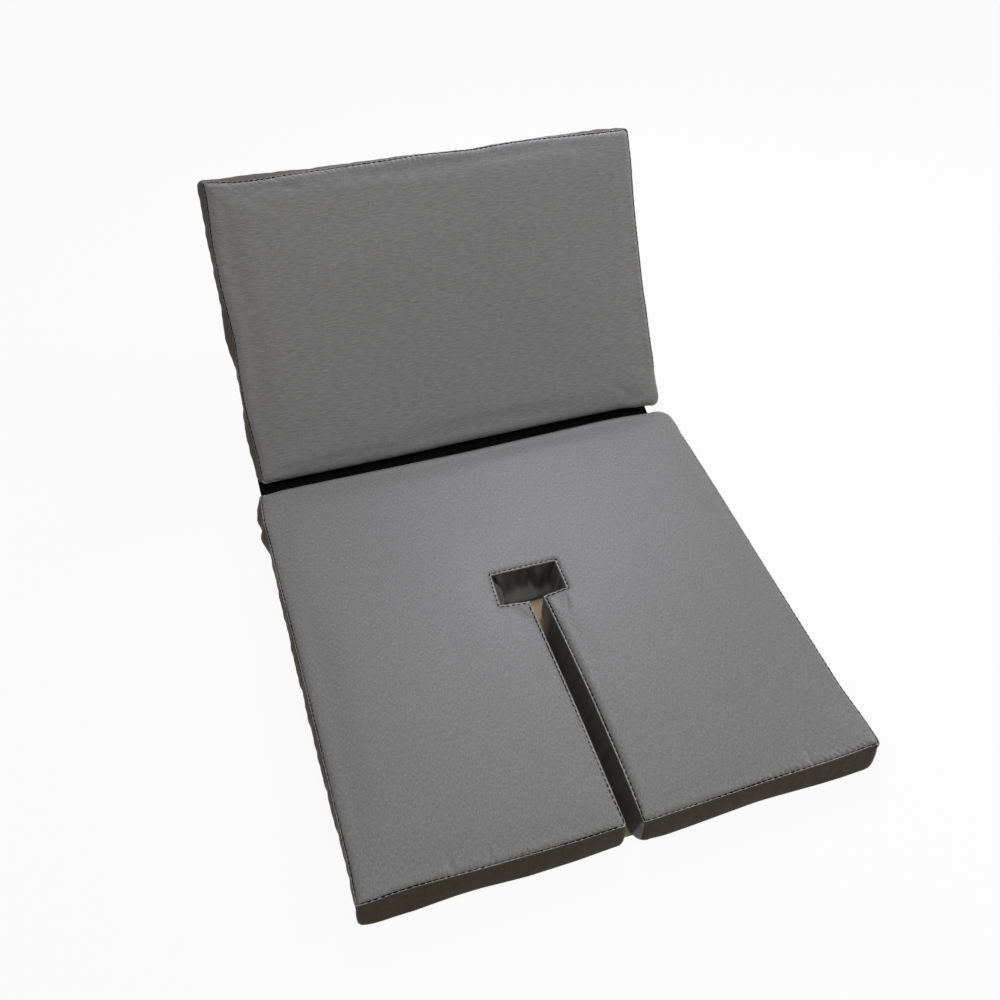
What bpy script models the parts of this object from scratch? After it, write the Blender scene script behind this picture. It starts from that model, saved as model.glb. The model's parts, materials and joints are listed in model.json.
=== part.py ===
"""Folding seat-and-back cushion: two fabric-covered foam pads joined by a fabric hinge strip.

The seat pad lies on the ground plane and has a rectangular keyhole with a slit to its front edge.
The back pad leans behind it and folds about an axis along X, from laid flat to closed on the seat.
"""
import math

import bmesh
import bpy
from mathutils import Euler, Vector

# Seat pad
SEAT_WIDTH = 0.380
SEAT_DEPTH = 0.374
SEAT_FOAM_THICKNESS = 0.025

# Keyhole and slit that let a harness strap through the seat pad
KEYHOLE_WIDTH = 0.055
KEYHOLE_DEPTH = 0.031
KEYHOLE_SETBACK = 0.199
SLIT_WIDTH = 0.0125

# Back pad
BACK_WIDTH = 0.366
BACK_HEIGHT = 0.248
BACK_FOAM_THICKNESS = 0.025

# Sewn covers
FABRIC_THICKNESS = 0.0006
SEWN_CLEARANCE = 0.0003
FOAM_EDGE_ROUNDING = 0.005
FOAM_ROUNDING_STEPS = 3

# Topstitching
THREAD_DIAMETER = 0.0008
STITCH_INSET = 0.0025
THREAD_RESOLUTION = 2

# Hinge strip and fold axis
SEAT_HINGE_MARGIN = 0.0025
BACK_HINGE_MARGIN = 0.004
FOLD_HEADROOM = 0.0025
HINGE_STRIP_THICKNESS = 0.0008
HINGE_STRIP_SHORTFALL = 0.012
RECLINE_ANGLE = 122.5

# Sizes that follow from the ones above
COVER_LAYER = FABRIC_THICKNESS + SEWN_CLEARANCE
SEAT_THICKNESS = SEAT_FOAM_THICKNESS + 2 * COVER_LAYER
BACK_THICKNESS = BACK_FOAM_THICKNESS + 2 * COVER_LAYER
KEYHOLE_REAR = KEYHOLE_SETBACK + KEYHOLE_DEPTH
FOLD_AXIS_Y = SEAT_DEPTH + SEAT_HINGE_MARGIN
FOLD_AXIS_Z = SEAT_THICKNESS + FOLD_HEADROOM
BACK_TILT = math.radians(180 - RECLINE_ANGLE)
BACK_FRONT_Z = -FOLD_HEADROOM
BACK_REAR_Z = BACK_FRONT_Z - BACK_THICKNESS
BACK_TOP_Y = BACK_HINGE_MARGIN + BACK_HEIGHT
STITCH_LIFT = SEWN_CLEARANCE + THREAD_DIAMETER / 2
HINGE_LEFT_X = -BACK_WIDTH / 2
HINGE_RIGHT_X = BACK_WIDTH / 2 - HINGE_STRIP_SHORTFALL

# Colours as linear red, green and blue
FABRIC_GREY = (0.20, 0.20, 0.21)
BAND_GREY = (0.13, 0.12, 0.11)
UNDERSIDE_GREY = (0.15, 0.15, 0.15)
FOAM_CREAM = (0.72, 0.66, 0.50)
THREAD_BLACK = (0.02, 0.02, 0.02)
HINGE_BLACK = (0.03, 0.03, 0.03)


def clear_scene():
    for obj in list(bpy.data.objects):
        bpy.data.objects.remove(obj, do_unlink=True)


def make_material(name, colour, roughness):
    material = bpy.data.materials.new(name)
    material.use_nodes = True
    shader = material.node_tree.nodes["Principled BSDF"]
    shader.inputs["Base Color"].default_value = (*colour, 1.0)
    shader.inputs["Roughness"].default_value = roughness
    shader.inputs["Metallic"].default_value = 0.0
    return material


def make_frame(name, location, tilt=0.0, parent=None):
    frame = bpy.data.objects.new(name, None)
    frame.location = location
    frame.rotation_euler = Euler((tilt, 0.0, 0.0))
    frame.parent = parent
    bpy.context.scene.collection.objects.link(frame)
    return frame


def add_object(name, data, material, parent):
    data.materials.append(material)
    obj = bpy.data.objects.new(name, data)
    obj.parent = parent
    bpy.context.scene.collection.objects.link(obj)
    return obj


def extrude_face(outline, direction):
    """A closed prism: the outline's points, swept along the direction."""
    shape = bmesh.new()
    face = shape.faces.new([shape.verts.new(point) for point in outline])
    swept = bmesh.ops.extrude_face_region(shape, geom=[face])
    moved = [item for item in swept["geom"] if isinstance(item, bmesh.types.BMVert)]
    bmesh.ops.translate(shape, verts=moved, vec=direction)
    bmesh.ops.recalc_face_normals(shape, faces=shape.faces)
    return shape


def add_slab(name, outline, bottom, top, material, parent, rounding=0.0):
    """A level slab with the given plan outline, its outward edges rounded if asked."""
    shape = extrude_face([Vector((x, y, bottom)) for x, y in outline], Vector((0, 0, top - bottom)))
    if rounding > 0:
        outward = [edge for edge in shape.edges if edge.is_convex]
        bmesh.ops.bevel(
            shape,
            geom=outward,
            offset=rounding,
            segments=FOAM_ROUNDING_STEPS,
            profile=0.5,
            affect="EDGES",
            clamp_overlap=True,
        )
    mesh = bpy.data.meshes.new(name)
    shape.to_mesh(mesh)
    shape.free()
    return add_object(name, mesh, material, parent)


def add_profile(name, profile, left, right, material, parent):
    """A strip along X with the given section in Y and Z."""
    shape = extrude_face([Vector((left, y, z)) for y, z in profile], Vector((right - left, 0, 0)))
    mesh = bpy.data.meshes.new(name)
    shape.to_mesh(mesh)
    shape.free()
    return add_object(name, mesh, material, parent)


def add_thread(name, path, height, material, parent):
    """One run of sewing thread lying on a panel, as a thin round tube."""
    curve = bpy.data.curves.new(name, "CURVE")
    curve.dimensions = "3D"
    curve.bevel_depth = THREAD_DIAMETER / 2
    curve.bevel_resolution = THREAD_RESOLUTION
    curve.use_fill_caps = True
    spline = curve.splines.new("POLY")
    spline.points.add(len(path) - 1)
    for point, (x, y) in zip(spline.points, path):
        point.co = (x, y, height, 1.0)
    return add_object(name, curve, material, parent)


def rectangle(left, right, front, rear):
    return [(left, front), (right, front), (right, rear), (left, rear)]


def slit_and_keyhole(inset):
    """Plan points round the slit and keyhole, set back into the pad by the inset."""
    slit = SLIT_WIDTH / 2 + inset
    hole = KEYHOLE_WIDTH / 2 + inset
    hole_front = KEYHOLE_SETBACK - inset
    hole_rear = KEYHOLE_REAR + inset
    return [
        (-slit, inset),
        (-slit, hole_front),
        (-hole, hole_front),
        (-hole, hole_rear),
        (hole, hole_rear),
        (hole, hole_front),
        (slit, hole_front),
        (slit, inset),
    ]


def seat_outline(inset):
    """Plan outline of the seat pad, set in from its edges by the inset."""
    side = SEAT_WIDTH / 2 - inset
    rear = SEAT_DEPTH - inset
    return [(-side, inset), *slit_and_keyhole(inset), (side, inset), (side, rear), (-side, rear)]


def back_outline(inset):
    side = BACK_WIDTH / 2 - inset
    return rectangle(-side, side, BACK_HINGE_MARGIN + inset, BACK_TOP_Y - inset)


def keyhole_wall():
    """Plan of the fabric facing that lines the keyhole, open where the slit comes in."""
    inner = slit_and_keyhole(0.0)[1:-1]
    outer = slit_and_keyhole(FABRIC_THICKNESS)[1:-1]
    slit = SLIT_WIDTH / 2
    outer[0] = (-slit, outer[0][1])
    outer[-1] = (slit, outer[-1][1])
    return inner + outer[::-1]


def build_seat(frame, fabric, band, underside, foam, thread):
    side = SEAT_WIDTH / 2
    slit = SLIT_WIDTH / 2
    low = COVER_LAYER
    high = SEAT_THICKNESS - COVER_LAYER
    top_sheet = SEAT_THICKNESS - FABRIC_THICKNESS
    slit_end = KEYHOLE_SETBACK - COVER_LAYER

    add_slab("seat_foam", seat_outline(COVER_LAYER), low, high, foam, frame, FOAM_EDGE_ROUNDING)
    add_slab("seat_top_panel", seat_outline(0.0), top_sheet, SEAT_THICKNESS, fabric, frame)
    add_slab("seat_bottom_panel", seat_outline(0.0), 0.0, FABRIC_THICKNESS, underside, frame)

    bands = {
        "seat_band_left": rectangle(-side, -side + FABRIC_THICKNESS, 0.0, SEAT_DEPTH),
        "seat_band_right": rectangle(side - FABRIC_THICKNESS, side, 0.0, SEAT_DEPTH),
        "seat_band_front_left": rectangle(-side + COVER_LAYER, -slit - COVER_LAYER, 0.0, FABRIC_THICKNESS),
        "seat_band_front_right": rectangle(slit + COVER_LAYER, side - COVER_LAYER, 0.0, FABRIC_THICKNESS),
        "seat_band_rear": rectangle(
            -side + COVER_LAYER, side - COVER_LAYER, SEAT_DEPTH - FABRIC_THICKNESS, SEAT_DEPTH
        ),
        "slit_facing_left": rectangle(-slit - FABRIC_THICKNESS, -slit, 0.0, slit_end),
        "slit_facing_right": rectangle(slit, slit + FABRIC_THICKNESS, 0.0, slit_end),
        "keyhole_facing": keyhole_wall(),
    }
    for name, outline in bands.items():
        add_slab(name, outline, low, high, band, frame)

    stitched = seat_outline(STITCH_INSET)
    path = [stitched[-1], *stitched[:-1]]
    add_thread("seat_topstitch", path, SEAT_THICKNESS + STITCH_LIFT, thread, frame)


def build_back(frame, fabric, band, underside, foam, thread):
    side = BACK_WIDTH / 2
    bottom = BACK_HINGE_MARGIN
    low = BACK_REAR_Z + COVER_LAYER
    high = BACK_FRONT_Z - COVER_LAYER

    add_slab("back_foam", back_outline(COVER_LAYER), low, high, foam, frame, FOAM_EDGE_ROUNDING)
    add_slab(
        "back_front_panel", back_outline(0.0), BACK_FRONT_Z - FABRIC_THICKNESS, BACK_FRONT_Z, fabric, frame
    )
    add_slab(
        "back_rear_panel", back_outline(0.0), BACK_REAR_Z, BACK_REAR_Z + FABRIC_THICKNESS, underside, frame
    )

    bands = {
        "back_band_left": rectangle(-side, -side + FABRIC_THICKNESS, bottom, BACK_TOP_Y),
        "back_band_right": rectangle(side - FABRIC_THICKNESS, side, bottom, BACK_TOP_Y),
        "back_band_top": rectangle(
            -side + COVER_LAYER, side - COVER_LAYER, BACK_TOP_Y - FABRIC_THICKNESS, BACK_TOP_Y
        ),
        "back_band_bottom": rectangle(
            -side + COVER_LAYER, side - COVER_LAYER, bottom, bottom + FABRIC_THICKNESS
        ),
    }
    for name, outline in bands.items():
        add_slab(name, outline, low, high, band, frame)

    front_left, front_right, rear_right, rear_left = back_outline(STITCH_INSET)
    path = [front_left, rear_left, rear_right, front_right]
    add_thread("back_topstitch", path, BACK_FRONT_Z + STITCH_LIFT, thread, frame)


def build_hinge(seat_frame, back_frame, hinge):
    """The strip in two leaves that meet at the fold: one sewn to each pad's facing edge."""
    drop = HINGE_STRIP_THICKNESS
    seat_start = SEAT_DEPTH + SEWN_CLEARANCE
    seat_end = FOLD_AXIS_Y - SEWN_CLEARANCE
    fold_top = FOLD_AXIS_Z - SEWN_CLEARANCE
    seat_leaf = [
        (seat_start, SEAT_THICKNESS - drop),
        (seat_end, fold_top - drop),
        (seat_end, fold_top),
        (seat_start, SEAT_THICKNESS),
    ]
    back_start = SEWN_CLEARANCE
    back_end = BACK_HINGE_MARGIN - SEWN_CLEARANCE
    back_leaf = [
        (back_start, -SEWN_CLEARANCE - drop),
        (back_end, BACK_FRONT_Z - drop),
        (back_end, BACK_FRONT_Z),
        (back_start, -SEWN_CLEARANCE),
    ]
    add_profile("hinge_strip_seat_leaf", seat_leaf, HINGE_LEFT_X, HINGE_RIGHT_X, hinge, seat_frame)
    add_profile("hinge_strip_back_leaf", back_leaf, HINGE_LEFT_X, HINGE_RIGHT_X, hinge, back_frame)


def resting_length():
    """Front of the seat to the rearmost corner of the leaning back pad."""
    corner = Vector((0.0, BACK_TOP_Y, BACK_REAR_Z))
    corner.rotate(Euler((BACK_TILT, 0.0, 0.0)))
    return FOLD_AXIS_Y + corner.y


def main():
    clear_scene()
    fabric = make_material("cover_fabric", FABRIC_GREY, 0.80)
    band = make_material("band_fabric", BAND_GREY, 0.85)
    underside = make_material("underside_fabric", UNDERSIDE_GREY, 0.85)
    foam = make_material("cushion_foam", FOAM_CREAM, 0.95)
    thread = make_material("sewing_thread", THREAD_BLACK, 0.70)
    hinge = make_material("hinge_fabric", HINGE_BLACK, 0.85)

    seat_frame = make_frame("seat_frame", (0.0, -resting_length() / 2, 0.0))
    back_frame = make_frame("back_frame", (0.0, FOLD_AXIS_Y, FOLD_AXIS_Z), BACK_TILT, seat_frame)
    build_seat(seat_frame, fabric, band, underside, foam, thread)
    build_back(back_frame, fabric, band, underside, foam, thread)
    build_hinge(seat_frame, back_frame, hinge)


main()
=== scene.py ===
"""Looks of the folding seat-and-back cushion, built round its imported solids."""

import json
import math
from typing import NamedTuple

import bmesh
import bpy
import numpy as np
from mathutils import Matrix, Vector, geometry, kdtree


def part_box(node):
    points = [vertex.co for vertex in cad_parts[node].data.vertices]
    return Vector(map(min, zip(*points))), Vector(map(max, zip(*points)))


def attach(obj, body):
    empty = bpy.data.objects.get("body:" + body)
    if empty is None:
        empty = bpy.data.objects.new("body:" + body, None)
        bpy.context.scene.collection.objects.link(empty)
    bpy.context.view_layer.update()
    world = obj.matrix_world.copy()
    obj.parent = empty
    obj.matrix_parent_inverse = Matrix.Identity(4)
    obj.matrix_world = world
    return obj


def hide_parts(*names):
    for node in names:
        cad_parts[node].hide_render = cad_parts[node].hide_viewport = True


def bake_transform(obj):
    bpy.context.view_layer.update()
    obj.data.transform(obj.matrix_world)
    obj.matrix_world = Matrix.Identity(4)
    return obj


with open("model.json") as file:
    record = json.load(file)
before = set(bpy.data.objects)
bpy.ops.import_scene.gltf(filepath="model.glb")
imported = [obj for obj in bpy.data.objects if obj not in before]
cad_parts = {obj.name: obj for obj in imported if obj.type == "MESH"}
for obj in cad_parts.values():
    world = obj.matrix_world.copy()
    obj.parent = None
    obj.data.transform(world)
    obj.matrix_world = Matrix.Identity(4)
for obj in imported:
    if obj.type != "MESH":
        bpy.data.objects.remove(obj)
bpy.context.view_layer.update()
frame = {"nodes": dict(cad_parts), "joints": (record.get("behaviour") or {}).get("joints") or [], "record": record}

MM = 0.001

# Camera fitted to the corners of both pads, measured from the seat's front centre on the floor
CAMERA_FROM_SEAT_FRONT = Vector((-0.20026, -0.27429, 0.67810))
CAMERA_YAW = math.radians(19.4785)
CAMERA_PITCH = math.radians(46.5425)
CAMERA_ROLL = math.radians(2.0784)
CAMERA_LENS_MM = 37.562
CAMERA_SENSOR_MM = 36.0

# Sampling of the sewn covers
EDGE_SPACING = 0.9 * MM
CORNER_STEPS = 9
FACE_RINGS = 16
BAND_RINGS = 28
FACE_SPACING = 3.0 * MM
UNDERSIDE_SPACING = 12.0 * MM

# Topstitching
STITCH_INSET = 1.0 * MM
STITCH_PITCH = 4.7 * MM
STITCH_LENGTH = 4.2 * MM
STITCH_SLIP = 0.08
STITCH_SKEW = 0.14
THREAD_RADIUS = 0.55 * MM
THREAD_SIDES = 8
THREAD_LOOPS = 7
PUCKER = 0.40 * MM

# Swell of the faces: a quick roll up from the stitch line, then a slow crown
SHOULDER = 0.5 * MM
CROWN = 0.7 * MM
CROWN_REACH = 18.0 * MM
FACE_REACH = 14.0 * MM
UNDULATION = 0.30 * MM

# Wavelengths of the cloth's unevenness, in metres
DRAPE_WAVES = [0.031, 0.047, 0.019, 0.073]
FLUTTER_WAVES = [0.013, 0.0083, 0.023]
WRINKLE_WAVES = [0.017, 0.029, 0.011, 0.047]
FULLNESS_WAVES = [0.061, 0.093, 0.037]
ACROSS_WAVES = [0.170, 0.120, 0.260]
ALONG_WAVES = [0.150, 0.210, 0.095]
STRIP_WAVES = [0.055, 0.083, 0.034]

# Unevenness of the face near its stitch line, and how far in it reaches
PUCKER_REACH = 2.0 * MM
DRAPE_START = 2.5 * MM
DRAPE_REACH = 7.0 * MM
DRAPE_DEPTH = 0.45 * MM
FLUTTER_DEPTH = 0.22 * MM

# The unstitched edges at the fold, which roll over past the outline
ROLLED_EDGE = -1.6 * MM
ROLLED_FACE_END = -1.1 * MM

# Where stitching gives way to a rolled edge: shares of an open gap, and lengths from a stitched corner
OPEN_FADE = (0.6, 1.5)
ROLLED_FADE = (1.0 * MM, 22.0 * MM)

# Corners: the keyhole's own, how fast a rounding grows with the inset, and where shifted edges come back in
HOLE_CORNER_RADIUS = 0.6 * MM
LEAST_RADIUS = 0.3 * MM
RADIUS_GROWTH = 0.42
SHIFT_FADE = 30 * MM

# Sections of the band below the face, as inset from the outline and height from the face in millimetres
STITCHED_SECTION = [
    (1.00, -1.80), (0.55, -1.15), (0.10, -1.50), (0.10, -2.60), (0.10, -7.00), (0.00, -13.0),
    (0.00, -20.0), (0.20, -24.6), (1.40, -26.4), (9.00, -26.8),
]
ROLLED_SECTION = [
    (-1.10, -2.20), (-1.50, -3.60), (-1.60, -5.00), (-1.60, -7.50), (-1.60, -10.5), (-1.60, -14.0),
    (-1.50, -20.0), (-0.90, -24.6), (1.00, -26.4), (9.00, -26.8),
]
SECTION_DROP = 1.80 * MM
SECTION_DEPTH = 26.8 * MM
SEAM_POINT = 2
UNDERSIDE_POINT = 8

# Shape of the band: where its rounder corners begin and are full, in millimetres under the face, how the lean
# and hem of its foot set in, and the rings that the lip and the dip of the stitch line spread over
BAND_START, BAND_FULL = 2.5, 9.0
BAND_MARGIN = 2 * MM
FULLNESS = 0.15
LEAN_POWER = 1.3
HEM_POWER = 8
LIP_MIDDLE, LIP_SPREAD = 3.5, 2.5
DROP_SPREAD = 7.0

# Unevenness of the lip, outwards and upwards, in millimetres
LIP_FLUTTER = (0.16, 0.20)
LIP_PUCKER = (0.10, 0.24)

# Slots of a cover's materials; the lip's material holds painted highlight, the band's and facing's painted shade
COVER_SLOT, BAND_SLOT, UNDERSIDE_SLOT, LIP_SLOT, FACING_SLOT = 0, 1, 2, 3, 4

# Cloth settling over the foam under slight pressure, and how its movement is carried over
SETTLE_VOXEL = 5.0 * MM
SETTLE_FRAMES = 20
SETTLE_PRESSURE = 4.0
SETTLE_MASS = 0.04
SETTLE_LIMIT = 0.8 * MM
SETTLE_DIGITS = 5
SETTLE_NEIGHBOURS = 6
SEWN_REACH = 4.0 * MM

# Section of the foam core, as inset and height in millimetres like those of the band
CORE_SECTION = [
    (9.0, -3.4), (6.0, -4.2), (4.6, -6.0), (4.2, -9.0), (4.2, -18.0), (4.8, -21.0), (7.0, -23.0),
    (11.0, -23.8),
]
CORE_SPACING = 9.0 * MM
CORE_RADIUS = 5.0

# Hinge strip
STRIP_SEAT_DEPTH = 6.0 * MM
STRIP_BACK_DEPTH = 13.0 * MM
STRIP_TUCK = 3.2 * MM
STRIP_LEFT_OVERHANG = 6.0 * MM
STRIP_RIGHT_OVERHANG = 5.0 * MM
STRIP_SAG = 2.0 * MM
STRIP_WAVE_DEPTH = 0.8 * MM
STRIP_HALF_THICKNESS = 0.35 * MM
STRIP_ROWS = 180
STRIP_COLUMNS = 20

# Seeds of the random draws
SEAT_SEED, BACK_SEED = 3, 29
SEAT_STITCH_SEED, BACK_STITCH_SEED = 41, 43
STRIP_SEED = 71

# Weave. Slubs have a strength, a length across and a length along, for weft and then warp
THREAD_SPACING = 0.55 * MM
SPECK_SIZE = 1.0 * MM
CLOUD_SIZE = 70.0 * MM
SEAT_THREADS = ((0.40, 2.4 * MM, 0.9 * MM), (0.95, 0.9 * MM, 2.6 * MM))
BACK_THREADS = ((0.75, 8.0 * MM, 1.1 * MM), (0.30, 1.0 * MM, 6.0 * MM))
BAND_THREADS = ((0.40, 9.0 * MM, 1.3 * MM), (0.35, 1.2 * MM, 7.0 * MM))

# Colours
SEAT_COLOUR = (0.222, 0.220, 0.218)
# Painted light: the back's cloth is the seat's, made lighter to make up for the lesser light that falls on the
# back
BACK_COLOUR_WITH_PAINTED_LIGHT = (0.262, 0.262, 0.265)
# Painted highlight: the seams' lips are lighter than the faces, as if they caught the light
SEAT_LIP_HIGHLIGHT_COLOUR = (0.400, 0.392, 0.378)
BACK_LIP_HIGHLIGHT_COLOUR = (0.370, 0.360, 0.345)
# Painted shade and painted warm floor bounce: the bands are the faces' cloth, made darker and browner as if in
# shade
SEAT_BAND_SHADE_COLOUR = (0.122, 0.106, 0.085)
BACK_BAND_SHADE_COLOUR = (0.155, 0.147, 0.137)
# Painted shade: the keyhole and slit facings are darker, as if deep in shade
FACING_SHADE_COLOUR = (0.060, 0.059, 0.057)
UNDERSIDE_COLOUR = (0.170, 0.170, 0.172)
THREAD_COLOUR = (0.006, 0.006, 0.006)
# Painted shade: the hinge strip is near black, standing for the deep shade of the gap between the pads
HINGE_SHADE_COLOUR = (0.005, 0.005, 0.005)
FOAM_COLOUR = (0.72, 0.66, 0.50)

# Stage
FLOOR_COLOUR = (0.56, 0.45, 0.32)
FLOOR_SIZE = 6.0
FLOOR_DROP = 0.2 * MM
SHADOW_SHARE = 0.07
FOOTPRINT_MARGIN = 3.0 * MM
WORLD_FILL = 0.213

# Lamps: bearing from the rear towards the right and height above the floor in degrees, distance and size in
# metres, power in watts, and colour
LAMPS = {
    "key_light": (22.0, 49.0, 0.95, 0.25, 2.52, (0.91, 0.915, 1.0)),
    "right_light": (95.0, 38.0, 2.2, 0.8, 12.6, (1.0, 1.0, 1.0)),
    "left_light": (275.0, 60.0, 2.2, 0.8, 3.77, (1.0, 1.0, 1.0)),
    "front_light": (180.0, 72.0, 0.62, 0.3, 0.262, (1.0, 0.96, 0.88)),
}


# Geometry taken from the frame

def node_points(name, to_local):
    """A node's points in a pad's own frame."""
    mesh = frame["nodes"][name].data
    return np.array([to_local @ vertex.co for vertex in mesh.vertices])


def pad_frames():
    """Matrices of the seat pad and the back pad: X along the fold, Z out of the face that is sat on."""
    joint = frame["joints"][0]
    mounts = {mount["name"]: mount for mount in frame["record"]["mounts"]}
    rear_normal = mounts["back_rear_face"]["axis"]
    tilt = math.atan2(rear_normal[1], -rear_normal[2])
    fold = Matrix.Translation(Vector(joint["pos_m"])) @ Matrix.Rotation(tilt, 4, "X")
    return Matrix.Identity(4), fold


SEAT_FRAME, BACK_FRAME = pad_frames()
SEAT_LOW, SEAT_HIGH = (Vector(corner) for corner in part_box("seat_top_panel"))
SEAT_TOP = SEAT_HIGH.z
SEAT_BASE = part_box("seat_bottom_panel")[0][2]
SLIT_LOW, SLIT_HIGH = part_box("slit_facing_left")
FABRIC = SLIT_HIGH[0] - SLIT_LOW[0]
SLIT_HALF = -SLIT_HIGH[0]
HOLE_LOW, HOLE_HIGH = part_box("keyhole_facing")
HOLE_HALF = HOLE_HIGH[0] - FABRIC
HOLE_FRONT = HOLE_LOW[1] + FABRIC
HOLE_REAR = HOLE_HIGH[1] - FABRIC

BACK_POINTS = node_points("back_front_panel", BACK_FRAME.inverted())
BACK_LOW = Vector(BACK_POINTS.min(axis=0))
BACK_HIGH = Vector(BACK_POINTS.max(axis=0))
BACK_TOP = BACK_HIGH.z
BACK_BASE = node_points("back_rear_panel", BACK_FRAME.inverted()).min(axis=0)[2]


# Small helpers

def add_object(name, data):
    made = bpy.data.objects.new(name, data)
    bpy.context.scene.collection.objects.link(made)
    return made


def object_from(shape, name, material):
    """An object made from a finished bmesh."""
    mesh = bpy.data.meshes.new(name)
    shape.to_mesh(mesh)
    shape.free()
    mesh.materials.append(material)
    return add_object(name, mesh)


def ripple(values, lengths, seed):
    """A smooth uneven wave: a sum of sines with the given wavelengths, between about -1 and 1."""
    phases = np.random.RandomState(seed).uniform(0, 2 * math.pi, len(lengths))
    waves = [np.sin(2 * math.pi * values / length + phase) for length, phase in zip(lengths, phases)]
    return sum(waves) / len(lengths)


def smooth_step(values, low, high):
    t = np.clip((values - low) / (high - low), 0, 1)
    return t * t * (3 - 2 * t)


def blur_loop(values, width):
    """Values round a closed loop, smoothed over about the given number of samples."""
    reach = max(1, int(3 * width))
    kernel = np.exp(-0.5 * (np.arange(-reach, reach + 1) / width) ** 2)
    padded = np.concatenate([values[-reach:], values, values[:reach]])
    return np.convolve(padded, kernel / kernel.sum(), "valid")


def curve_through(points, count):
    """Places spread over the spans of a smooth curve through the points."""
    points = np.array(points, float)
    padded = np.vstack([2 * points[0] - points[1], points, 2 * points[-1] - points[-2]])
    at = np.linspace(0, len(points) - 1, count)
    span = np.minimum(at.astype(int), len(points) - 2)
    t = (at - span)[:, None]
    a, b, c, d = (padded[span + k] for k in range(4))
    cubic = (3 * b - a - 3 * c + d) * t ** 3
    return 0.5 * (2 * b + (c - a) * t + (2 * a - 5 * b + 4 * c - d) * t ** 2 + cubic)


def section_row(point):
    """The band ring that lies at a point of the sections."""
    return FACE_RINGS + round(point / (len(STITCHED_SECTION) - 1) * (BAND_RINGS - 1))


def quarter_round(t):
    """Rise of a quarter circle: steep at 0, level from 1 on."""
    return np.sqrt(1 - (1 - np.clip(t, 0, 1)) ** 2)


# Plan outlines of the pads

class Corner(NamedTuple):
    """A corner of a pad's outline, with how far off the sewn one lies and how round it is, in millimetres."""
    x: float
    y: float
    nudge: tuple = (0.0, 0.0)
    face_radius: float = 0.4
    band_radius: float = 7.0


class Edge(NamedTuple):
    """How a cover is sewn along the edge that starts at a corner, in millimetres.

    drop is the depth of the stitch line under the face, roll the width over which the face rises from it,
    bulge how far the band swells out at half height, lean how far its foot stands out, hem how far the foot
    turns out flat, shift how far the whole edge stands out, lip how much wider than usual its lip is and
    wrinkle the depth of the band's folds. Each is a number, or pairs of a share of the edge's length and the
    number there. The stitching stops short of the edge's two ends by open_start and open_end. A lining edge
    is one inside the keyhole or slit.
    """
    drop: object = 2.0
    roll: object = 4.5
    bulge: object = 1.5
    lean: object = 0.0
    hem: object = 0.0
    shift: object = 0.0
    lip: object = 0.0
    wrinkle: object = 0.3
    open_start: float = 0.0
    open_end: float = 0.0
    stitched: bool = True
    lining: bool = False


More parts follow.
